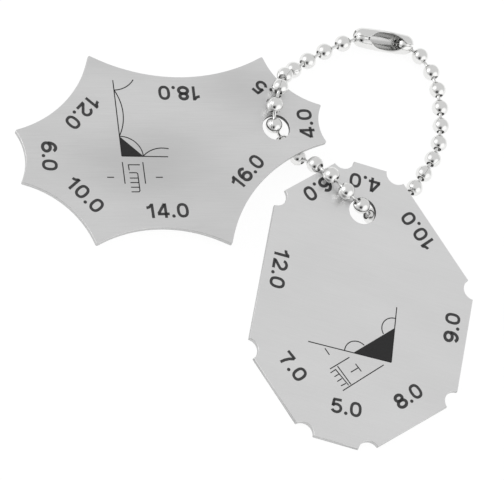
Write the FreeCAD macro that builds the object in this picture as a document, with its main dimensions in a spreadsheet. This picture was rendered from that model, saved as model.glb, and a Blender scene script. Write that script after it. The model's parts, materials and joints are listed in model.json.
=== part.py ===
"""Fillet weld gauge: two etched steel gauge plates carried on a loop of bead chain with its connector.

Millimetres, +Z up. The gauge lies on a bench as it is stored: the bench is z = 0 and the origin lies
on it, under the middle of the outer box. The leg plate is on the left and the throat plate on the
right. Each is held up at its hole by the beads that run under it, and rests on its far edge.
"""
import FreeCAD, Part
import math
import os
import Sketcher

V = FreeCAD.Vector
ORIGIN = V(0, 0, 0)
Z_AXIS = V(0, 0, 1)

doc = FreeCAD.newDocument("fillet_weld_gauge")

# Driving dimensions. Each plate's eight sizes run clockwise from the side that faces up the page.
SIZES = {
    "leg_1": 18.0,
    "leg_2": 7.5,
    "leg_3": 4.0,
    "leg_4": 16.0,
    "leg_5": 14.0,
    "leg_6": 10.0,
    "leg_7": 6.0,
    "leg_8": 12.0,
    "throat_1": 4.0,
    "throat_2": 10.0,
    "throat_3": 9.0,
    "throat_4": 8.0,
    "throat_5": 5.0,
    "throat_6": 7.0,
    "throat_7": 12.0,
    "throat_8": 6.0,
    "plate_thickness": 0.7,
    "tip_rounding": 0.5,
    "notch_radius": 1.6,
    "hole_diameter": 4.0,
    "hole_inset": 7.2,
    "leg_hole_depth": 11.4,
    "bead_diameter": 2.4,
    "bead_wall": 0.2,
    "bead_hole_diameter": 1.2,
    "chain_pitch": 3.0,
    "link_length": 2.05,
    "link_wire_diameter": 0.48,
    "link_head_diameter": 1.32,
    "link_head_rise": 0.22,
    "connector_length": 8.8,
    "connector_swell": 0.12,
    "connector_wall": 0.2,
    "connector_end_radius": 0.85,
    "connector_slot_width": 0.9,
    "running_clearance": 0.06,
}
sheet = doc.addObject("Spreadsheet::Sheet", "Sizes")
for row, (name, value) in enumerate(SIZES.items(), start=1):
    sheet.set(f"A{row}", name)
    sheet.set(f"B{row}", str(value))
    sheet.setAlias(f"B{row}", name)
doc.recompute()


def size(name):
    return float(sheet.get(name))


thickness = size("plate_thickness")
bead_radius = size("bead_diameter") / 2
clearance = size("running_clearance")


def new_body(name):
    body = doc.addObject("PartDesign::Body", name)
    body.Label = name
    return body


def new_sketch(body, name, plane):
    sketch = body.newObject("Sketcher::SketchObject", f"{body.Name}_{name}")
    datum = [feature for feature in body.Origin.OriginFeatures if feature.Role == plane][0]
    sketch.AttachmentSupport = [(datum, "")]
    sketch.MapMode = "FlatFace"
    return sketch


def new_feature(body, kind, name, sketch):
    feature = body.newObject(f"PartDesign::{kind}", f"{body.Name}_{name}")
    feature.Profile = sketch
    return feature


def bind(sketch, constraint, formula):
    """Add a sketch dimension and tie it to the sheet."""
    index = sketch.addConstraint(constraint)
    sketch.setExpression(f"Constraints[{index}]", formula)


def hold_point(sketch, geometry, point, place, formulas):
    """Tie a point's place, from the sketch's origin, to two formulas."""
    for kind, value, text in zip(("DistanceX", "DistanceY"), place, formulas):
        bind(sketch, Sketcher.Constraint(kind, -1, 1, geometry, point, value), text)


# The plates' outlines. Each side is turned 45 degrees from the one before, so a side and its two
# neighbours fit into a square corner. A leg plate's chord is root two times its leg size, and a
# throat plate's side is twice its throat. Eight such sides nearly meet, and what is left over is
# shared between them, which makes each corner's place a sum of all eight sizes.
SIDES = 8
TURN = math.radians(360 / SIDES)
LEG_CHORD = math.sqrt(2)
THROAT_SIDE = 2.0


def side_weights(side, per_size):
    """Weights of the eight sizes in one side's length, once the left-over is shared."""
    weights = [-2 / SIDES * per_size * math.cos(TURN * (side - other)) for other in range(SIDES)]
    weights[side] += per_size
    return weights


def corner_weights(corner, per_size):
    """Weights of the eight sizes in a corner's x and y, measured from the start of side 1."""
    x = [0.0] * SIDES
    y = [0.0] * SIDES
    for side in range(corner):
        for other, weight in enumerate(side_weights(side, per_size)):
            x[other] += weight * math.cos(TURN * side)
            y[other] -= weight * math.sin(TURN * side)
    return x, y


def add_up(weights, plate):
    return sum(weight * size(f"{plate}_{i}") for i, weight in enumerate(weights, start=1))


def formula(weights, plate):
    return " + ".join(f"({weight:.9f}) * Sizes.{plate}_{i}" for i, weight in enumerate(weights, start=1))


def corner_places(plate, per_size, hole_weights, hole_inset, hole_depth):
    """Corners from the hole's centre, each with the formulas that hold it there.

    The hole's x is a sum of the sizes less an inset, and its y a depth under side 1.
    """
    hole_x = add_up(hole_weights, plate) - (size(hole_inset) if hole_inset else 0.0)
    hole_formula = formula(hole_weights, plate) + (f" - Sizes.{hole_inset}" if hole_inset else "")
    places = []
    for corner in range(SIDES):
        x_weights, y_weights = corner_weights(corner, per_size)
        place = V(add_up(x_weights, plate) - hole_x, add_up(y_weights, plate) + size(hole_depth), 0)
        x_formula = f"{formula(x_weights, plate)} - ({hole_formula})"
        y_formula = f"{formula(y_weights, plate)} + Sizes.{hole_depth}"
        places.append((place, (x_formula, y_formula)))
    return places


def add_outline(sketch, places, bend=None):
    """Close the eight sides, straight or as hollow arcs, and hold every corner."""
    for side, (start, _) in enumerate(places):
        end = places[(side + 1) % SIDES][0]
        if bend is None:
            sketch.addGeometry(Part.LineSegment(start, end))
        else:
            sketch.addGeometry(bend(start, end))
    for side, (place, formulas) in enumerate(places):
        sketch.addConstraint(Sketcher.Constraint("Coincident", side, 2, (side + 1) % SIDES, 1))
        hold_point(sketch, side, 1, place, formulas)


def hollow_arc(start, end):
    """The arc of a scallop. Its radius equals its chord, so it spans 60 degrees."""
    chord = end - start
    outward = V(-chord.y, chord.x, 0) / chord.Length
    centre = (start + end) / 2 + outward * chord.Length * math.cos(math.radians(30))
    first = math.atan2(start.y - centre.y, start.x - centre.x)
    circle = Part.Circle(centre, Z_AXIS, chord.Length)
    return Part.ArcOfCircle(circle, first, first + math.radians(60))


def pad_plate(body, sketch):
    pad = new_feature(body, "Pad", "sheet", sketch)
    pad.SideType = "Symmetric"
    pad.setExpression("Length", "Sizes.plate_thickness")
    doc.recompute()
    return pad


def cut_through(body, sketch, name):
    """Cut right through the plate and make sure that something was cut."""
    before = body.Shape.Volume
    pocket = new_feature(body, "Pocket", name, sketch)
    pocket.SideType = "Symmetric"
    pocket.Type = "ThroughAll"
    doc.recompute()
    if body.Shape.Volume > before - thickness:
        raise RuntimeError(f"{body.Name}: {name} cut nothing")


def drill_hole(body):
    sketch = new_sketch(body, "hole_circle", "XY_Plane")
    sketch.addGeometry(Part.Circle(ORIGIN, Z_AXIS, size("hole_diameter") / 2))
    sketch.addConstraint(Sketcher.Constraint("Coincident", 0, 3, -1, 1))
    radius = Sketcher.Constraint("Radius", 0, size("hole_diameter") / 2)
    bind(sketch, radius, "Sizes.hole_diameter / 2")
    cut_through(body, sketch, "hole")


# The leg plate has a hollow scallop for each leg size: its two tips touch the welded plates while
# the scallop clears the crown of the weld. The hole is set in from the chord of the third side.
leg_places = corner_places(
    "leg", LEG_CHORD, corner_weights(3, LEG_CHORD)[0], "hole_inset", "leg_hole_depth"
)
leg_plate = new_body("leg_plate")
leg_sketch = new_sketch(leg_plate, "outline", "XY_Plane")
add_outline(leg_sketch, leg_places, hollow_arc)
for side in range(SIDES):
    weights = side_weights(side, LEG_CHORD)
    chord = Sketcher.Constraint("Radius", side, add_up(weights, "leg"))
    bind(leg_sketch, chord, formula(weights, "leg"))
leg_pad = pad_plate(leg_plate, leg_sketch)

tips = [place for place, _ in leg_places]


def is_tip_edge(edge):
    middle = edge.CenterOfMass
    return any(math.hypot(middle.x - tip.x, middle.y - tip.y) < clearance for tip in tips)


tip_edges = [f"Edge{i}" for i, e in enumerate(leg_pad.Shape.Edges, start=1) if is_tip_edge(e)]
tip_fillet = leg_plate.newObject("PartDesign::Fillet", "leg_plate_tips")
tip_fillet.Base = (leg_pad, tip_edges)
tip_fillet.setExpression("Radius", "Sizes.tip_rounding")
doc.recompute()
drill_hole(leg_plate)

# The throat plate has a straight side for each throat size. Its neighbours lie along the welded
# plates, and a round notch at every corner keeps it off the toes of the weld. The hole is in line
# with the middle of side 1.
throat_places = corner_places(
    "throat", THROAT_SIDE, [w / 2 for w in corner_weights(1, THROAT_SIDE)[0]], None, "hole_inset"
)
throat_plate = new_body("throat_plate")
throat_sketch = new_sketch(throat_plate, "outline", "XY_Plane")
add_outline(throat_sketch, throat_places)
pad_plate(throat_plate, throat_sketch)

notch_sketch = new_sketch(throat_plate, "notch_circles", "XY_Plane")
for corner, (place, formulas) in enumerate(throat_places):
    notch_sketch.addGeometry(Part.Circle(place, Z_AXIS, size("notch_radius")))
    hold_point(notch_sketch, corner, 3, place, formulas)
    radius = Sketcher.Constraint("Radius", corner, size("notch_radius"))
    bind(notch_sketch, radius, "Sizes.notch_radius")
cut_through(throat_plate, notch_sketch, "notches")
drill_hole(throat_plate)

# How the plates lie. A plate is turned in its own plane, then tipped until its far end touches the
# bench while its underside, at the hole, rests on a bead.
THROAT_TURN = -13.65
LEG_TURN = 2.86
LEG_HOLE_PLACE = V(-11.87, 12.31, 0)
underside_height = size("bead_diameter") + clearance


def lie_down(turn, hole_place, low_angle, reach):
    """Placement of a plate whose low end is at a world angle and a reach from its hole."""
    tip_over = math.degrees(math.asin(underside_height / reach))
    low = math.radians(low_angle)
    tilt = FreeCAD.Rotation(V(-math.sin(low), math.cos(low), 0), tip_over)
    middle = underside_height + thickness / 2 * math.cos(math.radians(tip_over))
    spin = FreeCAD.Rotation(Z_AXIS, turn)
    return FreeCAD.Placement(hole_place + V(0, 0, middle), tilt * spin)


# The leg plate lies on the two rounded tips of side 7, which is square to its local X axis.
leg_reach = -leg_plate.Shape.optimalBoundingBox().XMin
leg_lie = lie_down(LEG_TURN, LEG_HOLE_PLACE, LEG_TURN + 180, leg_reach)

# The throat plate lies on its side 5, which is parallel to side 1.
throat_reach = -throat_places[SIDES // 2][0].y
throat_lie = lie_down(THROAT_TURN, ORIGIN, THROAT_TURN - 90, throat_reach)
leg_plate.Placement = leg_lie
throat_plate.Placement = throat_lie


def side_middle(lie, places, side):
    """Where the middle of a side's chord has come to lie."""
    return lie.multVec((places[side - 1][0] + places[side % SIDES][0]) / 2)


def part_way(start, end, share, aside_x, aside_y):
    """A place a share of the way between two beads, and a little to one side."""
    return start + (end - start) * share + V(aside_x, aside_y, 0)


def over(lie, place):
    """The place on top of a plate, for a bead that lies on it."""
    normal = lie.Rotation.multVec(Z_AXIS)
    lift = thickness / 2 + bead_radius + clearance
    slope = (place.x - lie.Base.x) * normal.x + (place.y - lie.Base.y) * normal.y
    return V(place.x, place.y, lie.Base.z + (lift - slope) / normal.z)


def at_height(place, height):
    return V(place.x, place.y, height)


# The chain's route, as it lies: from the connector over the leg plate and down through its hole,
# out under it and over the throat plate, down through that hole, and back round to the connector.
# It crosses the leg plate's side 2 and the throat plate's side 8.
connector_bore = bead_radius + clearance
connector_radius = connector_bore + size("connector_wall")
connector_mouth = size("connector_end_radius")
connector_half_gap = size("connector_length") / 2 - math.sqrt(connector_radius ** 2 - connector_mouth ** 2)
CONNECTOR_PLACE = V(6.43, 28.80, connector_radius + size("connector_swell"))
CONNECTOR_TURN = math.radians(-5)
connector_axis = V(math.cos(CONNECTOR_TURN), math.sin(CONNECTOR_TURN), 0)
leg_rim = side_middle(leg_lie, leg_places, 2) + V(-1.02, 0.77, 0)
on_leg_rim = at_height(leg_rim, leg_lie.Base.z + 0.6)
in_leg_hole = leg_lie.Base + V(-0.25, 0.44, 0.1)
throat_rim = side_middle(throat_lie, throat_places, 8) + V(0.94, 2.03, 0)
on_throat_rim = at_height(throat_rim, throat_lie.Base.z + 0.4)
in_throat_hole = throat_lie.Base + V(-0.22, 0.70, 0.65)
LEFT_ARM = [
    CONNECTOR_PLACE - connector_axis * connector_half_gap,
    V(-2.52, 26.53, bead_radius),
    V(-5.30, 24.75, bead_radius),
    V(-7.85, 22.75, 1.7),
    on_leg_rim,
]
THREADED = [
    over(leg_lie, part_way(on_leg_rim, in_leg_hole, 1 / 3, -0.59, 0.07)),
    over(leg_lie, part_way(on_leg_rim, in_leg_hole, 2 / 3, -0.86, -0.22)),
    in_leg_hole,
    at_height(part_way(in_leg_hole, on_throat_rim, 1 / 3, -0.03, 0.19), bead_radius),
    at_height(part_way(in_leg_hole, on_throat_rim, 2 / 3, 0.14, 0.06), bead_radius),
    on_throat_rim,
    over(throat_lie, part_way(on_throat_rim, in_throat_hole, 1 / 3, -0.40, -0.25)),
    over(throat_lie, part_way(on_throat_rim, in_throat_hole, 2 / 3, -0.36, -0.48)),
    in_throat_hole,
    V(2.00, 0.32, bead_radius),
]
RIGHT_ARC = [
    THREADED[-1],
    V(4.50, 1.40, bead_radius),
    V(8.55, 4.70, bead_radius),
    V(10.15, 6.89, bead_radius),
    V(13.42, 12.47, bead_radius),
    V(14.35, 18.33, bead_radius),
    V(13.66, 24.39, bead_radius),
    V(12.05, 27.10, bead_radius),
    CONNECTOR_PLACE + connector_axis * connector_half_gap,
]


def along(route):
    """Evenly spaced places for beads, near their pitch apart, on a smooth curve through the route."""
    curve = Part.BSplineCurve()
    curve.interpolate(route)
    gaps = round(curve.length() / size("chain_pitch"))
    places = curve.toShape().discretize(Number=gaps + 1)
    return [V(place.x, place.y, max(place.z, bead_radius)) for place in places]


bead_places = along(LEFT_ARM) + THREADED[:-1] + along(RIGHT_ARC)


def revolve(body, sketch):
    turned = new_feature(body, "Revolution", "turned", sketch)
    turned.ReferenceAxis = (sketch, ["V_Axis"])
    turned.Angle = 360
    return turned


def make_bead(name):
    """A hollow stamped bead about Z: a ball with a hole for a link at each end."""
    body = new_body(name)
    sketch = new_sketch(body, "profile", "XZ_Plane")
    hole = size("bead_hole_diameter") / 2
    cavity = bead_radius - size("bead_wall")
    half_angle = math.acos(hole / bead_radius)
    rim = bead_radius * math.sin(half_angle)
    ball = Part.Circle(ORIGIN, Z_AXIS, bead_radius)
    sketch.addGeometry(Part.ArcOfCircle(ball, -half_angle, half_angle))
    ridge = V(cavity, 0, 0)
    sketch.addGeometry(Part.LineSegment(V(hole, rim, 0), ridge))
    sketch.addGeometry(Part.LineSegment(ridge, V(hole, -rim, 0)))
    sketch.addConstraint(Sketcher.Constraint("Coincident", 0, 3, -1, 1))
    for line in range(3):
        sketch.addConstraint(Sketcher.Constraint("Coincident", line, 2, (line + 1) % 3, 1))
    bind(sketch, Sketcher.Constraint("Radius", 0, bead_radius), "Sizes.bead_diameter / 2")
    for end in (1, 2):
        width = Sketcher.Constraint("DistanceX", -1, 1, 0, end, hole)
        bind(sketch, width, "Sizes.bead_hole_diameter / 2")
    ridge_formulas = ("Sizes.bead_diameter / 2 - Sizes.bead_wall", "0")
    hold_point(sketch, 2, 1, ridge, ridge_formulas)
    revolve(body, sketch)
    return body


def make_link(name):
    """A wire link about Z. Its upset heads float in the two beads that it joins."""
    body = new_body(name)
    sketch = new_sketch(body, "profile", "XZ_Plane")
    half = size("link_length") / 2
    rise = size("link_head_rise")
    wire = (size("link_wire_diameter") / 2, "Sizes.link_wire_diameter / 2")
    head = (size("link_head_diameter") / 2, "Sizes.link_head_diameter / 2")
    axis = (0.0, "0")
    brim = (half, "(Sizes.link_length / 2)")
    neck = (half - rise, "(Sizes.link_length / 2 - Sizes.link_head_rise)")
    upper = [(wire, neck), (head, brim), (axis, brim)]
    lower = [(x, (-y, f"-{text}")) for x, (y, text) in reversed(upper)]
    profile = lower + upper
    points = [V(x[0], y[0], 0) for x, y in profile]
    for start, end in zip(points, points[1:] + points[:1]):
        sketch.addGeometry(Part.LineSegment(start, end))
    for line, (x, y) in enumerate(profile):
        sketch.addConstraint(Sketcher.Constraint("Coincident", line, 2, (line + 1) % len(profile), 1))
        hold_point(sketch, line, 1, points[line], (x[1], y[1]))
    revolve(body, sketch)
    return body


def direction(start, end):
    return (end - start) / (end - start).Length


def stand_along(place, axis):
    return FreeCAD.Placement(place, FreeCAD.Rotation(Z_AXIS, axis))


# The chain: hollow beads strung on wire links. A bead's holes share the bend between its two links,
# and every link has the same length, so where the chain lies slack its heads sit deeper in the beads.
BEADS = len(bead_places)
moved = [leg_plate, throat_plate]
for i, place in enumerate(bead_places):
    before = bead_places[max(i - 1, 0)]
    after = bead_places[min(i + 1, BEADS - 1)]
    bead = make_bead(f"bead_{i + 1:02d}")
    if 0 < i < BEADS - 1:
        axis = direction(before, place) + direction(place, after)
    else:
        axis = after - before
    bead.Placement = stand_along(place, axis)
    moved.append(bead)
for i, (start, end) in enumerate(zip(bead_places, bead_places[1:])):
    link = make_link(f"link_{i + 1:02d}")
    link.Placement = stand_along((start + end) / 2, end - start)
    moved.append(link)

# The connector: a stamped sleeve that holds the two end beads. It swells a little in the middle, its
# ends are domed round the beads, and a slot along it, turned to the bench, lets a link in and keeps a
# bead from leaving sideways.
BORE_FORMULA = "(Sizes.bead_diameter / 2 + Sizes.running_clearance)"
OUTER_FORMULA = f"({BORE_FORMULA} + Sizes.connector_wall)"
GAP_FORMULA = (
    f"(Sizes.connector_length / 2 - sqrt({OUTER_FORMULA} ^ 2 - Sizes.connector_end_radius ^ 2))"
)
SWELL_FORMULA = f"({GAP_FORMULA} ^ 2 + Sizes.connector_swell ^ 2) / (2 * Sizes.connector_swell)"


def dome(radius, end):
    """A quarter of the sleeve's profile round an end bead, from its side to its mouth."""
    reach = math.acos(connector_mouth / radius)
    circle = Part.Circle(V(0, end * connector_half_gap, 0), Z_AXIS, radius)
    return Part.ArcOfCircle(circle, min(0, end * reach), max(0, end * reach))


def joined(sketch, first, first_end, second, second_end):
    sketch.addConstraint(Sketcher.Constraint("Coincident", first, first_end, second, second_end))


connector = new_body("connector")
sleeve_sketch = new_sketch(connector, "profile", "XZ_Plane")
domes = {}
for end in (1, -1):
    for radius, radius_formula in ((connector_radius, OUTER_FORMULA), (connector_bore, BORE_FORMULA)):
        arc = sleeve_sketch.addGeometry(dome(radius, end))
        side_end, mouth_end = (1, 2) if end > 0 else (2, 1)
        gap = f"{end} * {GAP_FORMULA}"
        hold_point(sleeve_sketch, arc, 3, V(0, end * connector_half_gap, 0), ("0", gap))
        bind(sleeve_sketch, Sketcher.Constraint("Radius", arc, radius), radius_formula)
        level = Sketcher.Constraint("DistanceY", -1, 1, arc, side_end, end * connector_half_gap)
        bind(sleeve_sketch, level, gap)
        width = Sketcher.Constraint("DistanceX", -1, 1, arc, mouth_end, connector_mouth)
        bind(sleeve_sketch, width, "Sizes.connector_end_radius")
        domes[end, radius] = arc, side_end, mouth_end
    outer_arc, inner_arc = domes[end, connector_radius], domes[end, connector_bore]
    starts = [sleeve_sketch.getPoint(arc[0], arc[2]) for arc in (outer_arc, inner_arc)]
    lip = sleeve_sketch.addGeometry(Part.LineSegment(*starts))
    joined(sleeve_sketch, lip, 1, outer_arc[0], outer_arc[2])
    joined(sleeve_sketch, lip, 2, inner_arc[0], inner_arc[2])
for radius in (connector_radius, connector_bore):
    upper_arc, lower_arc = domes[1, radius], domes[-1, radius]
    corners = [sleeve_sketch.getPoint(arc[0], arc[1]) for arc in (lower_arc, upper_arc)]
    swollen = V(radius + size("connector_swell"), 0, 0)
    side = sleeve_sketch.addGeometry(Part.Arc(corners[0], swollen, corners[1]))
    joined(sleeve_sketch, side, 1, lower_arc[0], lower_arc[1])
    joined(sleeve_sketch, side, 2, upper_arc[0], upper_arc[1])
    swell_radius = Sketcher.Constraint("Radius", side, sleeve_sketch.Geometry[side].Radius)
    bind(sleeve_sketch, swell_radius, SWELL_FORMULA)
revolve(connector, sleeve_sketch)
doc.recompute()

slot_sketch = new_sketch(connector, "slot_outline", "YZ_Plane")
slot_half_width = size("connector_slot_width") / 2
slot_half_length = size("connector_length") / 2
slot_corners = [(1, 1), (-1, 1), (-1, -1), (1, -1)]
slot_points = [V(x * slot_half_width, y * slot_half_length, 0) for x, y in slot_corners]
for start, end in zip(slot_points, slot_points[1:] + slot_points[:1]):
    slot_sketch.addGeometry(Part.LineSegment(start, end))
for line, (x, y) in enumerate(slot_corners):
    joined(slot_sketch, line, 2, (line + 1) % 4, 1)
    slot_formulas = (f"{x} * Sizes.connector_slot_width / 2", f"{y} * Sizes.connector_length / 2")
    hold_point(slot_sketch, line, 1, slot_points[line], slot_formulas)
sleeve_volume = connector.Shape.Volume
slot = new_feature(connector, "Pocket", "slot", slot_sketch)
slot.Type = "ThroughAll"
doc.recompute()
if connector.Shape.Volume > sleeve_volume - size("connector_wall"):
    raise RuntimeError("the connector's slot cut nothing")
SLOT_DOWN = FreeCAD.Placement(ORIGIN, FreeCAD.Rotation(Z_AXIS, 180))
connector.Placement = stand_along(CONNECTOR_PLACE, connector_axis) * SLOT_DOWN
moved.append(connector)
doc.recompute()

# Centre the outer box over the origin, check every object, and write one file for each piece.
box = FreeCAD.BoundBox()
for body in moved:
    box.add(body.Shape.optimalBoundingBox())
centre = FreeCAD.Placement(V(-box.Center.x, -box.Center.y, 0), FreeCAD.Rotation())
for body in moved:
    body.Placement = centre * body.Placement
doc.recompute()

for item in doc.Objects:
    if "Invalid" in item.State or "Error" in item.State:
        raise RuntimeError(f"{item.Name} is {item.State}")
for body in moved:
    if body.Shape.isNull() or not body.Shape.isValid() or len(body.Shape.Solids) != 1:
        raise RuntimeError(f"{body.Label} has no sound solid")
os.makedirs("parts", exist_ok=True)
for body in moved:
    body.Shape.exportStep(f"parts/{body.Label}.step")
print(f"outer box {box.XLength:.2f} x {box.YLength:.2f} x {box.ZLength:.2f}, floor {box.ZMin:.3f}")
print(f"origin moved by {-box.Center.x:.3f}, {-box.Center.y:.3f}")
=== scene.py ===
"""Looks of the fillet weld gauge: two etched stainless plates on a loop of nickel bead chain."""
import bmesh
import bpy
import json
import math
from mathutils import Matrix, Vector


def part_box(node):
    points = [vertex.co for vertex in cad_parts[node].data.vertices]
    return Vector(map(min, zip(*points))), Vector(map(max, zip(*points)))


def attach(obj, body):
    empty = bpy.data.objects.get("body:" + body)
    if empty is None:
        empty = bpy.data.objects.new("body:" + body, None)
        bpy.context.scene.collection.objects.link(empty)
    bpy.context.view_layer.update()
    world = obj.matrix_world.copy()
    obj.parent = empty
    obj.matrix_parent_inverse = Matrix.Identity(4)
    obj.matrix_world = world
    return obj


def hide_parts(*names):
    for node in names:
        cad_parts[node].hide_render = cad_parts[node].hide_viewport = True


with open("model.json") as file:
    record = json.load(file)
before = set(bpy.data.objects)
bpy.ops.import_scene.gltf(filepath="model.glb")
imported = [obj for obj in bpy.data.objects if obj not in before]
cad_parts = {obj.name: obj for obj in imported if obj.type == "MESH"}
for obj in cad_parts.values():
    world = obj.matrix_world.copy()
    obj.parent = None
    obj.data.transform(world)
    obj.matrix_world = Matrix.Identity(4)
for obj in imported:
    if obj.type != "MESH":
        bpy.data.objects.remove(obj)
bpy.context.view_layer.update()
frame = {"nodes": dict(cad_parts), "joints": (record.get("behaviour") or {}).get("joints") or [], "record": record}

# The gauge plates. Each is cut from 0.7 mm stainless sheet and brushed on both faces. Its edges are
# left as they were cut, duller than the faces, with the burr taken off. Its hole's wall is painted
# nearly black: painted shade for the shade that falls in the hole.
MM = 0.001
SHEET = 0.7 * MM
EDGE_BREAK = 0.05 * MM
LEG_TURN = math.radians(2.86)
THROAT_TURN = math.radians(-13.65)
TINY = MM / 1000
STREAK_STRETCH = (0.02, 1.0, 1.0)
CLOUD_STRETCH = (0.35, 1.0, 1.0)
SCRATCH_DEPTH = 0.02 * MM
# Nearly all of a noise's values lie between these.
NOISE_LOW, NOISE_HIGH = 0.3, 0.7
joints = {joint["name"]: joint for joint in frame["joints"]}


def lie_of(joint_name, turn):
    """Where a plate lies: its hole's centre, its face's normal as Z, and its turn in its own plane."""
    joint = joints[joint_name]
    normal = Vector(joint["axis"])
    tilt = Vector((0, 0, 1)).rotation_difference(normal).to_matrix().to_4x4()
    return Matrix.Translation(joint["pos_m"]) @ tilt @ Matrix.Rotation(turn, 4, "Z")


leg_lie = lie_of("leg_plate_swing", LEG_TURN)
throat_lie = lie_of("throat_plate_swing", THROAT_TURN)


def new_piece(name, mesh_maker, materials, body, *nodes):
    """Make a piece from a bmesh, in place, and hang it on its body."""
    mesh = bpy.data.meshes.new(name)
    mesh_maker.to_mesh(mesh)
    mesh_maker.free()
    for material in materials:
        mesh.materials.append(material)
    piece = bpy.data.objects.new(name, mesh)
    bpy.context.scene.collection.objects.link(piece)
    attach(piece, body)
    if nodes:
        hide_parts(*nodes)
    return piece


def shader_tree(name):
    """A new material with its node tree, its Principled shader and a node maker."""
    material = bpy.data.materials.new(name)
    material.use_nodes = True
    tree = material.node_tree
    shader = tree.nodes["Principled BSDF"]

    def add(kind, **settings):
        """Add a node. Each setting goes to the input of its name, or else to the node itself."""
        node = tree.nodes.new("ShaderNode" + kind)
        for key, value in settings.items():
            if key in node.inputs:
                node.inputs[key].default_value = value
            else:
                setattr(node, key, value)
        return node

    return material, tree.links.new, shader, add


def brushed_sheet(name, lie, grey, blotch, streak, darker_patches):
    """Brushed stainless: fine streaks along the plate over faint clouds, and darker patches over both."""
    material, link, shader, add = shader_tree(name)
    shader.inputs["Metallic"].default_value = 1.0
    place = add("TexCoord")
    to_plate = lie.inverted()
    turned = add("Mapping", vector_type="POINT")
    turned.inputs["Location"].default_value = to_plate.translation
    turned.inputs["Rotation"].default_value = to_plate.to_euler("XYZ")
    link(place.outputs["Object"], turned.inputs["Vector"])
    stretched = add("VectorMath", operation="MULTIPLY")
    stretched.inputs[1].default_value = STREAK_STRETCH
    link(turned.outputs["Vector"], stretched.inputs[0])
    scratches = add("TexNoise", Scale=9000.0, Detail=3.0, Roughness=0.7)
    link(stretched.outputs["Vector"], scratches.inputs["Vector"])
    bands = add("VectorMath", operation="MULTIPLY")
    bands.inputs[1].default_value = CLOUD_STRETCH
    link(turned.outputs["Vector"], bands.inputs[0])
    clouds = add("TexNoise", Scale=130.0, Detail=4.0, Roughness=0.55)
    link(bands.outputs["Vector"], clouds.inputs["Vector"])
    shade = add("Math", operation="MULTIPLY")
    for noise, low, high, factor in (
        (clouds, grey - blotch, grey + blotch, shade.inputs[0]),
        (scratches, 1.0 - streak, 1.0 + streak, shade.inputs[1]),
    ):
        tone = add("MapRange")
        tone.inputs["From Min"].default_value = NOISE_LOW
        tone.inputs["From Max"].default_value = NOISE_HIGH
        tone.inputs["To Min"].default_value = low
        tone.inputs["To Max"].default_value = high
        link(noise.outputs["Fac"], tone.inputs["Value"])
        link(tone.outputs["Result"], factor)
    level = shade.outputs["Value"]
    for x, y, reach_x, reach_y, depth in darker_patches:
        offset = add("VectorMath", operation="SUBTRACT")
        offset.inputs[1].default_value = Vector((x, y, 0)) * MM
        link(turned.outputs["Vector"], offset.inputs[0])
        spans = add("VectorMath", operation="MULTIPLY")
        spans.inputs[1].default_value = (1 / reach_x / MM, 1 / reach_y / MM, 0)
        link(offset.outputs["Vector"], spans.inputs[0])
        distance = add("VectorMath", operation="LENGTH")
        link(spans.outputs["Vector"], distance.inputs[0])
        darkening = add("MapRange", interpolation_type="SMOOTHSTEP")
        darkening.inputs["To Min"].default_value = 1.0 - depth
        darkening.inputs["To Max"].default_value = 1.0
        link(distance.outputs["Value"], darkening.inputs["Value"])
        darkened = add("Math", operation="MULTIPLY")
        link(level, darkened.inputs[0])
        link(darkening.outputs["Result"], darkened.inputs[1])
        level = darkened.outputs["Value"]
    colour = add("CombineColor")
    for channel in ("Red", "Green", "Blue"):
        link(level, colour.inputs[channel])
    link(colour.outputs["Color"], shader.inputs["Base Color"])
    rough = add("MapRange")
    rough.inputs["To Min"].default_value = 0.34
    rough.inputs["To Max"].default_value = 0.48
    link(scratches.outputs["Fac"], rough.inputs["Value"])
    link(rough.outputs["Result"], shader.inputs["Roughness"])
    bump = add("Bump", Strength=0.12, Distance=SCRATCH_DEPTH)
    link(scratches.outputs["Fac"], bump.inputs["Height"])
    link(bump.outputs["Normal"], shader.inputs["Normal"])
    return material


def drifting_colour(link, shader, add, scale, detail, low, high):
    """Let a material's colour drift between two in a noise, which is returned for what else it drives."""
    place = add("TexCoord")
    noise = add("TexNoise", Scale=scale, Detail=detail)
    link(place.outputs["Object"], noise.inputs["Vector"])
    tone = add("ValToRGB")
    tone.color_ramp.elements[0].color = (*low, 1)
    tone.color_ramp.elements[1].color = (*high, 1)
    link(noise.outputs["Fac"], tone.inputs["Fac"])
    link(tone.outputs["Color"], shader.inputs["Base Color"])
    return noise


def cut_edge(name, low, high):
    """Steel as it was cut, duller and rougher than the faces, in a grey between low and high.
    Given a nearly black grey, as for the hole's wall, it is painted shade.
    """
    material, link, shader, add = shader_tree(name)
    shader.inputs["Metallic"].default_value = 1.0
    drifting_colour(link, shader, add, 4000.0, 3.0, (low, low, low), (high, high, high))
    shader.inputs["Roughness"].default_value = 0.5
    return material


rim_steel = cut_edge("plate_cut_edge", 0.46, 0.70)
# The hole's wall is painted nearly black: painted shade for the shade in the hole.
hole_wall_painted_shade = cut_edge("plate_hole_wall_painted_shade", 0.06, 0.13)
# What lies within this of the hole's centre belongs to the hole.
HOLE_REACH = 2.2 * MM
MERGE = MM / 500
SAME_PLANE = math.radians(0.6)
RIM_FOLD = math.radians(60)
# Cosines between a face and the sheet: beside a rim, truly flat, and still seen as the face.
BESIDE_RIM, FLAT, FACE = 0.9, 0.999, 0.5
# A tip's rounding has edges shorter than the first, and is drawn in to the second's share of its radius.
TIP_EDGE = 0.3 * MM
TIP_SHARE = 0.4


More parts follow.
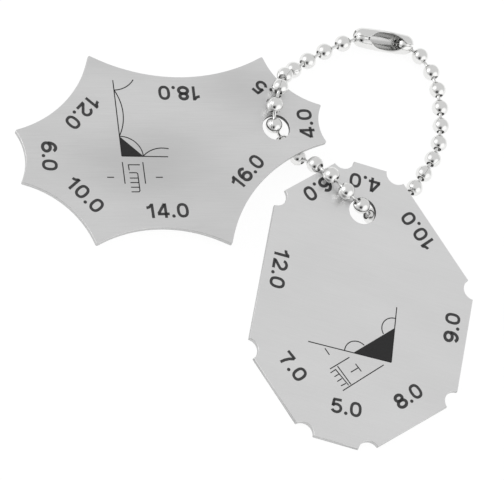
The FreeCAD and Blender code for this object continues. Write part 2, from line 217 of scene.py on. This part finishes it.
def sharpen_tips(rim):
    """Draw each tip's rounding in towards its corner, where the sides' tangents meet."""
    short = [edge for edge in rim if edge.calc_length() < TIP_EDGE]
    while short:
        chain = [short.pop()]
        for edge in chain:
            joined = [other for other in short if set(other.verts) & set(edge.verts)]
            chain += joined
            short = [other for other in short if other not in joined]
        verts = [vert for edge in chain for vert in edge.verts]
        first, last = [vert.co.copy() for vert in verts if verts.count(vert) == 1]
        between = next(vert.co.copy() for vert in verts if verts.count(vert) == 2)
        half_turn = math.pi - (first - between).angle(last - between)
        chord = last - first
        middle = (first + last) / 2
        outward = (between - middle - (between - middle).project(chord)).normalized()
        corner = middle + outward * chord.length / 2 * math.tan(half_turn)
        for vert in set(verts):
            vert.co = corner.lerp(vert.co, TIP_SHARE)


def plate_piece(name, node, lie, sheet):
    """The plate as its solid has it, with clean faces, the leg plate's tips sharpened and a fine
    break along every edge.
    """
    bm = bmesh.new()
    bm.from_mesh(frame["nodes"][node].data)
    bmesh.ops.remove_doubles(bm, verts=bm.verts, dist=MERGE)
    bmesh.ops.dissolve_limit(bm, angle_limit=SAME_PLANE, verts=bm.verts, edges=bm.edges)
    normal = (lie.to_3x3() @ Vector((0, 0, 1))).normalized()
    rim = [edge for edge in bm.edges if edge.calc_face_angle(0) > RIM_FOLD
           and any(abs(face.normal.dot(normal)) > BESIDE_RIM for face in edge.link_faces)]
    if node == "leg_plate":
        sharpen_tips([edge for edge in rim if (edge.verts[0].co - lie.translation).length > HOLE_REACH])
    bmesh.ops.bevel(bm, geom=rim, offset=EDGE_BREAK, segments=2, profile=0.5, affect="EDGES", material=-1)
    for face in bm.faces:
        facing = abs(face.normal.dot(normal))
        face.smooth = facing <= FLAT
        in_hole = (face.calc_center_median() - lie.translation).length < HOLE_REACH
        face.material_index = 0 if facing > FACE else 2 if in_hole else 1
    for edge in bm.edges:
        if any(not face.smooth for face in edge.link_faces):
            edge.smooth = False
    return new_piece(name, bm, [sheet, rim_steel, hole_wall_painted_shade], node, node)


# The leg plate is darker in its middle. Each patch has its place, its reach each way and its depth.
leg_darker_patches = [(-19.3, -6.2, 16.0, 8.5, 0.15), (-4.0, 6.2, 9.0, 5.5, 0.09)]
leg_sheet = brushed_sheet("leg_plate_steel", leg_lie, 0.77, 0.035, 0.03, leg_darker_patches)
throat_sheet = brushed_sheet("throat_plate_steel", throat_lie, 0.82, 0.02, 0.02, [])
for name, node, lie, sheet in (
    ("leg_plate_sheet", "leg_plate", leg_lie, leg_sheet),
    ("throat_plate_sheet", "throat_plate", throat_lie, throat_sheet),
):
    plate_piece(name, node, lie, sheet)

# The etched sizes. Each side carries its size in millimetres, etched and blackened, with the foot of
# the figures towards the side. Strokes have one width, but for the figures that came out heavier.
ETCH = 0.012 * MM
# The height is in millimetres. The stroke, the point and the gap are shares of it.
FIGURE_HEIGHT = 2.25
STROKE = 0.185
HEAVIER = {"6": 1.12, "8": 1.12, "9": 1.12}
POINT_RADIUS = 0.115
FIGURE_GAP = 0.16
ARC_STEPS = 24
LEAST_MITRE = 0.4


def blackened(name, grey):
    """Etched and blackened steel: nearly black, matt and a little uneven."""
    material, link, shader, add = shader_tree(name)
    drifting_colour(link, shader, add, 6000.0, 4.0, (grey * 0.6, grey * 0.6, grey * 0.61),
                    (grey * 1.4, grey * 1.4, grey * 1.42))
    shader.inputs["Roughness"].default_value = 0.6
    shader.inputs["Specular IOR Level"].default_value = 0.25
    return material


figure_black = blackened("etched_figures", 0.055)
diagram_black = blackened("etched_diagrams", 0.024)


def arc(centre, radius, start, end, squash=1.0, fullness=1.0):
    """Points along an arc or an oval between two angles. A fullness below 1 squares it a little."""
    angles = [math.radians(start + (end - start) * i / ARC_STEPS) for i in range(ARC_STEPS + 1)]
    shares = [[math.copysign(abs(share) ** fullness, share) for share in (math.cos(a), math.sin(a))]
              for a in angles]
    return [(centre[0] + radius * across, centre[1] + radius * squash * up) for across, up in shares]


def etched_line(bm, points, width):
    """Add a flat line of even width along points in millimetres. Where they close, it is a ring."""
    path = [Vector((x, y, 0)) * MM for x, y in points]
    ring = (path[0] - path[-1]).length < width * MM / 100
    if ring:
        path.pop()
    last = len(path) - 1
    sides = []
    for i, here in enumerate(path):
        before = path[i - 1] if i > 0 or ring else None
        after = path[(i + 1) % len(path)] if i < last or ring else None
        into = (here - before if before else after - here).normalized()
        out = (after - here if after else here - before).normalized()
        ahead = (into + out).normalized()
        spread = width * MM / 2 / max(LEAST_MITRE, ahead.dot(out))
        across = Vector((-ahead.y, ahead.x, 0)) * spread
        sides.append((bm.verts.new(here + across), bm.verts.new(here - across)))
    for (left, right), (next_left, next_right) in zip(sides, sides[1:] + sides[:1] if ring else sides[1:]):
        bm.faces.new((left, right, next_right, next_left))


# Each figure's width and strokes, in units of its height, from the foot of its left side.
FOOT = STROKE / 2
HEAD = 1 - FOOT
SIX = [arc((0.385, 0.33), 0.29, 0, 360, 0.85), arc((0.40, 0.5), 0.315, 190, 42, 0.415 / 0.315)]
FIGURES = {
    "0": (0.76, [arc((0.38, 0.5), 0.29, 0, 360, 0.41 / 0.29, 0.82)]),
    "1": (0.54, [arc((0.03, 0.99), 0.33, -90, -12, 0.82), [(0.40, 0), (0.40, 1)]]),
    "2": (0.76, [arc((0.38, 0.66), 0.285, 172, -34, 0.895) + [(0.13, 0.14)], [(0.05, FOOT), (0.70, FOOT)]]),
    "4": (0.78, [[(0.50, 0.97), (0.06, 0.29)], [(0.01, 0.27), (0.77, 0.27)], [(0.54, 0), (0.54, 1)]]),
    "5": (0.76, [[(0.14, HEAD), (0.68, HEAD)], [(0.20, HEAD), (0.13, 0.45)],
                 arc((0.37, 0.345), 0.295, 148, -156, 0.88)]),
    "6": (0.76, SIX),
    "7": (0.76, [[(0.04, HEAD), (0.72, HEAD)], [(0.68, 0.88), (0.50, 0.62), (0.38, 0.33), (0.32, 0)]]),
    "8": (0.76, [arc((0.38, 0.72), 0.245, 0, 360, 0.80), arc((0.38, 0.31), 0.295, 0, 360, 0.76)]),
    "9": (0.76, [[(0.76 - x, 1 - y) for x, y in stroke] for stroke in SIX]),
    ".": (0.17, []),
}


def etched_text(bm, text, place, turn, height):
    """Draw a size centred on a place of the plate's face, in millimetres, and turned in its plane."""
    length = sum(FIGURES[letter][0] + FIGURE_GAP for letter in text) - FIGURE_GAP
    way = math.radians(turn)
    cursor = -length / 2
    setting = Matrix.Translation(Vector((*place, 0)) * MM) @ Matrix.Rotation(way, 4, "Z")
    for letter in text:
        width, strokes = FIGURES[letter]
        for stroke in strokes:
            lying = [((x + cursor) * height, (y - 0.5) * height) for x, y in stroke]
            turned = [(place[0] + x * math.cos(way) - y * math.sin(way),
                       place[1] + x * math.sin(way) + y * math.cos(way)) for x, y in lying]
            etched_line(bm, turned, height * STROKE * HEAVIER.get(letter, 1.0))
        if letter == ".":
            middle = Vector((cursor + width / 2, POINT_RADIUS - 0.5, 0)) * height * MM
            bmesh.ops.create_circle(bm, cap_ends=True, segments=16, radius=POINT_RADIUS * height * MM,
                                    matrix=setting @ Matrix.Translation(middle))
        cursor += width + FIGURE_GAP


def etched_piece(name, bm, black, lie, node):
    """Raise flat artwork off the plate's face by its thickness and lay it on the plate."""
    bmesh.ops.remove_doubles(bm, verts=bm.verts, dist=MERGE / 10)
    bmesh.ops.dissolve_degenerate(bm, edges=bm.edges, dist=MERGE / 10)
    for face in bm.faces:
        if face.normal.z < 0:
            face.normal_flip()
    grown = bmesh.ops.extrude_face_region(bm, geom=bm.faces[:])
    top = [item for item in grown["geom"] if isinstance(item, bmesh.types.BMVert)]
    bmesh.ops.translate(bm, verts=top, vec=(0, 0, ETCH))
    bmesh.ops.recalc_face_normals(bm, faces=bm.faces)
    bmesh.ops.transform(bm, verts=bm.verts, matrix=lie @ Matrix.Translation((0, 0, SHEET / 2)))
    piece = new_piece(name, bm, [black], node)


# Each size, the turn that sets its foot to its side, within a few degrees, and its middle on the plate.
LEG_SIZES = [
    ("18.0", 179, -13.64, 5.40),
    ("7.5", 135, -0.60, 5.40),
    ("4.0", 92, 4.46, 0.62),
    ("16.0", 46, -5.19, -7.05),
    ("14.0", 1, -17.63, -13.16),
    ("10.0", -50, -29.20, -10.65),
    ("6.0", -94, -33.68, -4.63),
    ("12.0", -135, -28.13, 2.25),
]
THROAT_SIZES = [
    ("4.0", 182, -0.42, 4.40),
    ("10.0", 139, 8.48, -0.49),
    ("9.0", 94, 15.80, -13.70),
    ("8.0", 48, 11.18, -25.87),
    ("5.0", 5, 2.66, -30.22),
    ("7.0", -39, -5.88, -26.42),
    ("12.0", -89, -10.36, -12.45),
    ("6.0", -133, -7.01, 1.30),
]
for name, sizes, lie, node in (
    ("leg_plate_figures", LEG_SIZES, leg_lie, "leg_plate"),
    ("throat_plate_figures", THROAT_SIZES, throat_lie, "throat_plate"),
):
    bm = bmesh.new()
    for text, turn, x, y in sizes:
        etched_text(bm, text, (x, y), turn, FIGURE_HEIGHT)
    etched_piece(name, bm, figure_black, lie, node)

# The etched diagrams. Each plate has a small drawing of the weld that it measures: the welded plates
# as two lines, the weld as a solid triangle, the gauge's sides over it, and the size's own letter.
LINE_WIDTH = 0.15


def bowed(start, end, rise):
    """Points along a shallow arc between two places. It bows to the left, or with a rise below 0 to
    the right, of the way along it."""
    chord = math.dist(start, end)
    radius = (chord ** 2 / 4 + rise ** 2) / (2 * abs(rise))
    along = math.atan2(end[1] - start[1], end[0] - start[0])
    bow = math.copysign(1, rise)
    middle = ((start[0] + end[0]) / 2, (start[1] + end[1]) / 2)
    reach = bow * (radius - abs(rise))
    centre = (middle[0] + reach * math.sin(along), middle[1] - reach * math.cos(along))
    half = math.degrees(math.asin(min(1, chord / 2 / radius)))
    top = math.degrees(along) + 90 * bow
    return arc(centre, radius, top + half * bow, top - half * bow)


def etched_triangle(bm, corners):
    """Add a solid triangle from corners in millimetres."""
    bm.faces.new([bm.verts.new(Vector((x, y, 0)) * MM) for x, y in corners])


leg_corner = (-23.22, -4.62)
LEG_WELD = 3.12
weld_top = (leg_corner[0], leg_corner[1] + LEG_WELD)
weld_toe = (leg_corner[0] + LEG_WELD, leg_corner[1])
leg_lines = [
    [leg_corner, (-23.12, 7.41)],
    [leg_corner, (-16.50, -4.72)],
    arc(leg_corner, LEG_WELD, 0, 90),
    bowed(weld_top, (-23.12, 5.83), -0.93),
    bowed((-23.12, 5.83), (-20.14, 7.49), -0.42),
    bowed(weld_toe, (-16.28, -3.46), 0.55),
    [(-23.27, -5.57), (-23.27, -8.95)],
    [(-20.30, -5.57), (-20.30, -8.95)],
    [(-25.75, -7.95), (-24.75, -7.95)],
    [(-18.68, -7.95), (-17.68, -7.95)],
    [(-20.79, -5.99), (-22.45, -5.99), (-22.42, -6.85)],
    [(-22.48, -7.24), (-21.40, -7.24), (-21.25, -7.40),
     (-21.25, -10.07), (-21.40, -10.23), (-22.48, -10.23)],
]
leg_lines += [[(-21.25, y), (-22.48, y)] for y in (-8.07, -8.78, -9.51)]
bm = bmesh.new()
etched_triangle(bm, [leg_corner, weld_toe, weld_top])
for points in leg_lines:
    etched_line(bm, points, LINE_WIDTH)
etched_piece("leg_plate_diagram", bm, diagram_black, leg_lie, "leg_plate")

throat_corner = (7.93, -21.57)
throat_top = (7.53, -16.32)
throat_toe = (2.21, -21.88)
NOTCH_DRAWN = 1.72
throat_lines = [
    [throat_corner, (7.35, -13.07)],
    [throat_corner, (-4.40, -22.08)],
    arc((7.42, -16.54), NOTCH_DRAWN, 90, 221),
    arc((2.70, -21.65), NOTCH_DRAWN, 188, 56),
    [(0.38, -24.47), (2.75, -26.61)],
    [(1.84, -22.65), (-0.61, -25.22)],
    [(6.92, -22.28), (1.76, -27.87)],
    [(-1.87, -22.36), (-1.06, -23.16)],
    [(2.87, -23.35), (3.90, -24.22)],
    [(3.39, -23.79), (2.42, -24.80)],
    [(-0.43, -25.78), (0.19, -25.06), (2.45, -26.83)],
    [(0.79, -25.57), (0.22, -26.18)],
    [(1.30, -26.13), (0.74, -26.77)],
    [(2.02, -26.66), (1.36, -27.25)],
]
bm = bmesh.new()
etched_triangle(bm, [throat_corner, throat_top, throat_toe])
for points in throat_lines:
    etched_line(bm, points, LINE_WIDTH)
etched_piece("throat_plate_diagram", bm, diagram_black, throat_lie, "throat_plate")

# The beads. Each is rolled from nickel-plated strip into a hollow ball, with a fine seam along it and
# a small hole at each end for a link, its lip turned in.
BEAD_RADIUS = 1.2 * MM
BEAD_WALL = 0.2 * MM
BEAD_HOLE = 0.6 * MM
LIP = 0.055 * MM
# A face nearer the bead's middle than this is inside it.
INSIDE = BEAD_RADIUS - BEAD_WALL * 0.9
# The seam's width, its turn on the first bead and how much further it is turned on each one after.
SEAM = math.radians(2)
SEAM_START = math.radians(200)
SEAM_STEP = 0.7
SEAM_BREAK = 0.02 * MM
EDGE_FOLD = math.radians(50)
OUTER_STEPS, LIP_STEPS, INNER_STEPS, ROUND_STEPS = 20, 6, 12, 40


def nickel(name, grey, roughness):
    """Bright nickel plate with a faint cloudiness in its polish."""
    material, link, shader, add = shader_tree(name)
    shader.inputs["Metallic"].default_value = 1.0
    haze = drifting_colour(link, shader, add, 700.0, 3.0, (grey * 0.93, grey * 0.93, grey * 0.92),
                           (grey, grey, grey * 0.99))
    rough = add("MapRange")
    rough.inputs["To Min"].default_value = roughness * 0.7
    rough.inputs["To Max"].default_value = roughness * 1.3
    link(haze.outputs["Fac"], rough.inputs["Value"])
    link(rough.outputs["Result"], shader.inputs["Roughness"])
    return material


bead_nickel = nickel("bead_nickel", 0.86, 0.12)
bead_inside = nickel("bead_inside", 0.85, 0.7)
bead_inside.node_tree.nodes["Principled BSDF"].inputs["Metallic"].default_value = 0.0
BEADS = 28


def middle_of(node):
    """The middle of a solid's box."""
    low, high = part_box(node)
    return (low + high) / 2


bead_places = [middle_of(f"bead_{i:02d}") for i in range(1, BEADS + 1)]
bodies = frame["record"]["behaviour"]["bodies"]
body_of_node = {node: body for body, nodes in bodies.items() for node in nodes}


def bead_axis(i):
    """The line through a bead's two holes, which share the bend between its links."""
    here = bead_places[i]
    before = (here - bead_places[i - 1]).normalized() if i > 0 else None
    after = (bead_places[i + 1] - here).normalized() if i < BEADS - 1 else None
    return ((before or after) + (after or before)).normalized()


def stand(place, axis):
    """The matrix that sets a mesh's middle on a place and its Z along an axis."""
    return Matrix.Translation(place) @ Vector((0, 0, 1)).rotation_difference(axis).to_matrix().to_4x4()


def spun(bm, profile, angle, steps, closed=True):
    """Spin a profile of (radius, height) points about Z into a skin. No angle means all the way round."""
    verts = [bm.verts.new((x, 0, z)) for x, z in profile]
    edges = [bm.edges.new(pair) for pair in zip(verts, verts[1:])]
    if closed:
        edges.append(bm.edges.new((verts[-1], verts[0])))
    full = angle is None
    bmesh.ops.spin(
        bm, geom=verts + edges, axis=(0, 0, 1), cent=(0, 0, 0), angle=math.tau if full else angle,
        steps=steps, use_merge=full, use_duplicate=False,
    )


def bead_mesh():
    """A hollow ball as its section spun round, stopping a hair short to leave its seam."""
    bm = bmesh.new()
    brow = math.acos((BEAD_HOLE + LIP / 2) / BEAD_RADIUS)
    inner = BEAD_RADIUS - BEAD_WALL
    inner_angle = math.acos(BEAD_HOLE / inner)
    outside = [brow * (1 - 2 * i / OUTER_STEPS) for i in range(OUTER_STEPS + 1)]
    turn_in = (BEAD_HOLE + LIP / 2 - LIP * math.cos(brow), (BEAD_RADIUS - LIP) * math.sin(brow))
    lip = [(turn_in[0] + LIP * math.cos(a), turn_in[1] + LIP * math.sin(a))
           for a in [brow + (math.pi - brow) * i / LIP_STEPS for i in range(1, LIP_STEPS + 1)]]
    section = lip[::-1] + [(BEAD_RADIUS * math.cos(a), BEAD_RADIUS * math.sin(a)) for a in outside]
    section += [(x, -z) for x, z in lip]
    section += [(inner * math.cos(-a), inner * math.sin(-a)) for a in
                [inner_angle * (1 - 2 * i / INNER_STEPS) for i in range(INNER_STEPS + 1)]]
    spun(bm, section, math.tau - SEAM, ROUND_STEPS)
    ends = [edge for edge in bm.edges if edge.is_boundary]
    bmesh.ops.contextual_create(bm, geom=[edge for edge in ends if edge.verts[0].co.y >= -TINY])
    bmesh.ops.contextual_create(bm, geom=[edge for edge in bm.edges if edge.is_boundary])
    bmesh.ops.recalc_face_normals(bm, faces=bm.faces)
    rims = [edge for edge in bm.edges if edge.calc_face_angle(0) > EDGE_FOLD]
    bmesh.ops.bevel(bm, geom=rims, offset=SEAM_BREAK, segments=2, profile=0.5, affect="EDGES", material=-1)
    for face in bm.faces:
        face.smooth = True
        face.material_index = 1 if face.calc_center_median().length < INSIDE else 0
    return bm


for i, place in enumerate(bead_places):
    node = f"bead_{i + 1:02d}"
    bm = bead_mesh()
    seam_turn = Matrix.Rotation(SEAM_START + SEAM_STEP * i, 4, "Z")
    bmesh.ops.transform(bm, verts=bm.verts, matrix=stand(place, bead_axis(i)) @ seam_turn)
    ball = new_piece(f"ball_{i + 1:02d}", bm, [bead_nickel, bead_inside], body_of_node[node], node)

# The links. Short lengths of nickel-plated wire join the beads, with a head upset at each end that
# can't pass the bead's hole. The heads are left dull, as they were struck.
LINK_LENGTH = 2.05 * MM
WIRE_RADIUS = 0.24 * MM
HEAD_RADIUS = 0.66 * MM
HEAD_RISE = 0.22 * MM
WIRE_STEPS = 28
link_nickel = nickel("link_nickel", 0.78, 0.16)


def link_mesh():
    """The wire and its two rounded heads, spun as one profile."""
    bm = bmesh.new()
    half = LINK_LENGTH / 2
    head = [(HEAD_RADIUS * math.cos(a), half - HEAD_RISE * 0.5 + HEAD_RISE * 0.5 * math.sin(a))
            for a in [math.radians(90 - 18 * i) for i in range(6)]]
    neck_foot = half - HEAD_RISE * 1.2
    neck = [(WIRE_RADIUS * 1.5, half - HEAD_RISE * 0.8), (WIRE_RADIUS, neck_foot)]
    upper = [(0.0, half)] + head[1:] + neck
    lower = [(x, -z) for x, z in reversed(upper)]
    spun(bm, upper + lower, None, WIRE_STEPS, closed=False)
    bmesh.ops.remove_doubles(bm, verts=bm.verts, dist=TINY)
    bmesh.ops.recalc_face_normals(bm, faces=bm.faces)
    for face in bm.faces:
        face.smooth = True
        face.material_index = 1 if abs(face.calc_center_median().z) > neck_foot else 0
    return bm


for i, (start, end) in enumerate(zip(bead_places, bead_places[1:])):
    node = f"link_{i + 1:02d}"
    bm = link_mesh()
    bmesh.ops.transform(bm, verts=bm.verts, matrix=stand((start + end) / 2, (end - start).normalized()))
    wire = new_piece(f"wire_{i + 1:02d}", bm, [link_nickel, bead_inside], body_of_node[node], node)

# The connector. A sleeve stamped and rolled from nickel-plated strip holds the chain's two end beads.
# Its ends close in round them. A slit runs along it and widens to the gate where the beads go in.
DOME_STEPS, SIDE_STEPS, TURN_STEPS = 8, 16, 64
SLEEVE_LENGTH = 8.8 * MM
SLEEVE_RADIUS = 1.46 * MM
SLEEVE_WALL = 0.2 * MM
SWELL = 0.12 * MM
MOUTH_RADIUS = 0.85 * MM
SLIT_TURN = math.radians(8)
GATE_TURN = math.radians(62)
GATE_MIDDLE = 0.35 * MM
GATE_REACH = 2.75 * MM
GATE_FULLNESS = 2.2
GATE_WAY = Vector((-0.32, -0.44, 0.84))
WRAP_MARGIN = 0.001
SLEEVE_BREAK = 0.07 * MM
# A face's place along the sleeve counts this much in whether it faces in or out.
ALONG_SHARE = 0.1
connector_nickel = nickel("connector_nickel", 0.84, 0.10)
# The sleeve's inside is the strip's rougher, unpolished side. Its darker grey is partly that duller side and
# partly painted shade for the shade within the sleeve.
connector_inside_painted_shade = nickel("connector_inside_painted_shade", 0.66, 0.2)


def half_opening(height):
    """Half the angle that is open at a height on the sleeve: the slit, or the gate's pointed leaf."""
    leaf = max(0.0, 1 - abs((height - GATE_MIDDLE) / GATE_REACH) ** GATE_FULLNESS)
    return SLIT_TURN + (GATE_TURN - SLIT_TURN) * leaf


def sleeve_mesh():
    """The sleeve's skin spun round, drawn back from its slit and gate, and given its wall."""
    bm = bmesh.new()
    dome_angle = math.acos(MOUTH_RADIUS / SLEEVE_RADIUS)
    centre = SLEEVE_LENGTH / 2 - SLEEVE_RADIUS * math.sin(dome_angle)
    dome = [(SLEEVE_RADIUS * math.cos(a), centre + SLEEVE_RADIUS * math.sin(a))
            for a in [dome_angle * (1 - i / DOME_STEPS) for i in range(DOME_STEPS)]]
    heights = [centre * (1 - i / SIDE_STEPS) for i in range(2 * SIDE_STEPS + 1)]
    side = [(SLEEVE_RADIUS + SWELL * (1 - (z / centre) ** 2), z) for z in heights]
    skin = dome + side + [(x, -z) for x, z in reversed(dome)]
    spun(bm, skin, math.tau - 2 * SLIT_TURN, TURN_STEPS, closed=False)
    # The margin keeps a first edge that is a hair below zero from wrapping round to a whole turn.
    for vert in bm.verts:
        turn = (math.atan2(vert.co.y, vert.co.x) + WRAP_MARGIN) % math.tau - math.pi + SLIT_TURN
        drawn_back = turn * (math.pi - half_opening(vert.co.z)) / (math.pi - SLIT_TURN)
        radius = vert.co.xy.length
        vert.co.xy = radius * math.cos(drawn_back), radius * math.sin(drawn_back)
    bmesh.ops.recalc_face_normals(bm, faces=bm.faces)
    bmesh.ops.solidify(bm, geom=bm.faces[:], thickness=SLEEVE_WALL)
    for vert in bm.verts:
        vert.co.xy *= max(1.0, MOUTH_RADIUS / vert.co.xy.length)
    bmesh.ops.recalc_face_normals(bm, faces=bm.faces)
    rims = [edge for edge in bm.edges if edge.calc_face_angle(0) > EDGE_FOLD]
    bmesh.ops.bevel(
        bm, geom=rims, offset=SLEEVE_BREAK, segments=3, profile=0.5, affect="EDGES", material=-1,
    )
    for face in bm.faces:
        middle = face.calc_center_median()
        inward = face.normal.dot(Vector((middle.x, middle.y, middle.z * ALONG_SHARE))) < 0
        face.smooth = True
        face.material_index = 1 if inward else 0
    return bm


swivel = joints["connector_swivel"]
sleeve_axis = Vector(swivel["axis"])
sleeve_lie = stand(Vector(swivel["pos_m"]), sleeve_axis)
gate_way = sleeve_lie.inverted().to_3x3() @ GATE_WAY
gate_turn = Matrix.Rotation(math.atan2(gate_way.y, gate_way.x) + math.pi, 4, "Z")
bm = sleeve_mesh()
bmesh.ops.transform(bm, verts=bm.verts, matrix=sleeve_lie @ gate_turn)
sleeve_metals = [connector_nickel, connector_inside_painted_shade]
new_piece("connector_sleeve", bm, sleeve_metals, "connector", "connector")

# The bench and the light: a white sheet in a pale tent, as small bright parts are pictured. The tent
# has a bright window on the left, light low down in front and a dark gap, which the polished beads show.
BENCH_REACH = 1.5
GLOW_SHARE = 0.8
TENT_LIGHT = 0.74
BACKDROP_LIGHT = 1.04
bm = bmesh.new()
bmesh.ops.create_grid(bm, x_segments=1, y_segments=1, size=BENCH_REACH)
mesh = bpy.data.meshes.new("bench")
bm.to_mesh(mesh)
bm.free()
bench = bpy.data.objects.new("bench", mesh)
bpy.context.scene.collection.objects.link(bench)
white, link, shader, add = shader_tree("bench_white")
shader.inputs["Base Color"].default_value = (0.9, 0.9, 0.9, 1)
shader.inputs["Roughness"].default_value = 1.0
shader.inputs["Specular IOR Level"].default_value = 0.0
# The camera and the reflections see the bench glow, so that it stays white. Its glow lights nothing else.
glow = add("Emission", Strength=1.1)
rays = add("LightPath")
seen = add("Math", operation="MAXIMUM")
link(rays.outputs["Is Camera Ray"], seen.inputs[0])
link(rays.outputs["Is Glossy Ray"], seen.inputs[1])
seen_all = add("Math", operation="MAXIMUM")
link(seen.outputs["Value"], seen_all.inputs[0])
link(rays.outputs["Is Transmission Ray"], seen_all.inputs[1])
share = add("Math", operation="MULTIPLY")
share.inputs[1].default_value = GLOW_SHARE
link(seen_all.outputs["Value"], share.inputs[0])
mix = add("MixShader")
link(share.outputs["Value"], mix.inputs["Fac"])
link(shader.outputs["BSDF"], mix.inputs[1])
link(glow.outputs["Emission"], mix.inputs[2])
link(mix.outputs["Shader"], white.node_tree.nodes["Material Output"].inputs["Surface"])
mesh.materials.append(white)

world = bpy.data.worlds.new("tent")
bpy.context.scene.world = world
world.use_nodes = True
tent = world.node_tree
sky = tent.nodes["Background"]
sky.inputs["Color"].default_value = (1, 1, 1, 1)
direction = tent.nodes.new("ShaderNodeTexCoord")
# Each patch of the tent: the way to it, the cosines at its edge and at its full strength, and the light
# that it adds.
TENT_PATCHES = [
    ((-0.85, 0.19, 0.50), 0.82, 0.97, 0.50),
    ((0.60, -0.74, 0.32), 0.72, 0.92, 0.45),
    ((-0.30, -0.80, 0.52), 0.86, 1.00, -0.52),
    ((-0.52, -0.82, 0.22), 0.86, 0.97, -0.25),
]
level = None
for way, edge_cosine, full_cosine, added in TENT_PATCHES:
    toward = tent.nodes.new("ShaderNodeVectorMath")
    toward.operation = "DOT_PRODUCT"
    toward.inputs[1].default_value = Vector(way).normalized()
    tent.links.new(direction.outputs["Generated"], toward.inputs[0])
    patch = tent.nodes.new("ShaderNodeMapRange")
    patch.interpolation_type = "SMOOTHSTEP"
    patch.inputs["From Min"].default_value = edge_cosine
    patch.inputs["From Max"].default_value = full_cosine
    patch.inputs["To Max"].default_value = added
    tent.links.new(toward.outputs["Value"], patch.inputs["Value"])
    total = tent.nodes.new("ShaderNodeMath")
    total.operation = "ADD"
    total.inputs[0].default_value = TENT_LIGHT
    if level:
        tent.links.new(level, total.inputs[0])
    tent.links.new(patch.outputs["Result"], total.inputs[1])
    level = total.outputs["Value"]
tent_rays = tent.nodes.new("ShaderNodeLightPath")
backdrop = tent.nodes.new("ShaderNodeMix")
backdrop.data_type = "FLOAT"
backdrop.inputs["B"].default_value = BACKDROP_LIGHT
tent.links.new(tent_rays.outputs["Is Camera Ray"], backdrop.inputs["Factor"])
tent.links.new(level, backdrop.inputs["A"])
tent.links.new(backdrop.outputs["Result"], sky.inputs["Strength"])

LAMP_PLACE = Vector((-0.51, 0.115, 0.30))
lamp_data = bpy.data.lights.new("soft_lamp", "AREA")
lamp_data.shape = "DISK"
lamp_data.size = 0.2
lamp_data.energy = 0.35
lamp = bpy.data.objects.new("soft_lamp", lamp_data)
lamp.location = LAMP_PLACE
lamp.rotation_euler = LAMP_PLACE.to_track_quat("Z", "Y").to_euler()
bpy.context.scene.collection.objects.link(lamp)

# The camera: a long lens held askew over the bench, at the photograph's own angle. Colours are shown
# as they are, with no film curve over them, so that the white ground stays white.
camera_data = bpy.data.cameras.new("camera")
camera_data.sensor_width = 36.0
camera_data.lens = 357.14
camera = bpy.data.objects.new("camera", camera_data)
camera.location = Vector((-221.004, -308.830, 593.102)) * MM
camera.rotation_euler = [math.radians(angle) for angle in (27.4685, -18.2618, -4.7885)]
bpy.context.scene.collection.objects.link(camera)
bpy.context.scene.camera = camera
bpy.context.scene.view_settings.view_transform = "Standard"
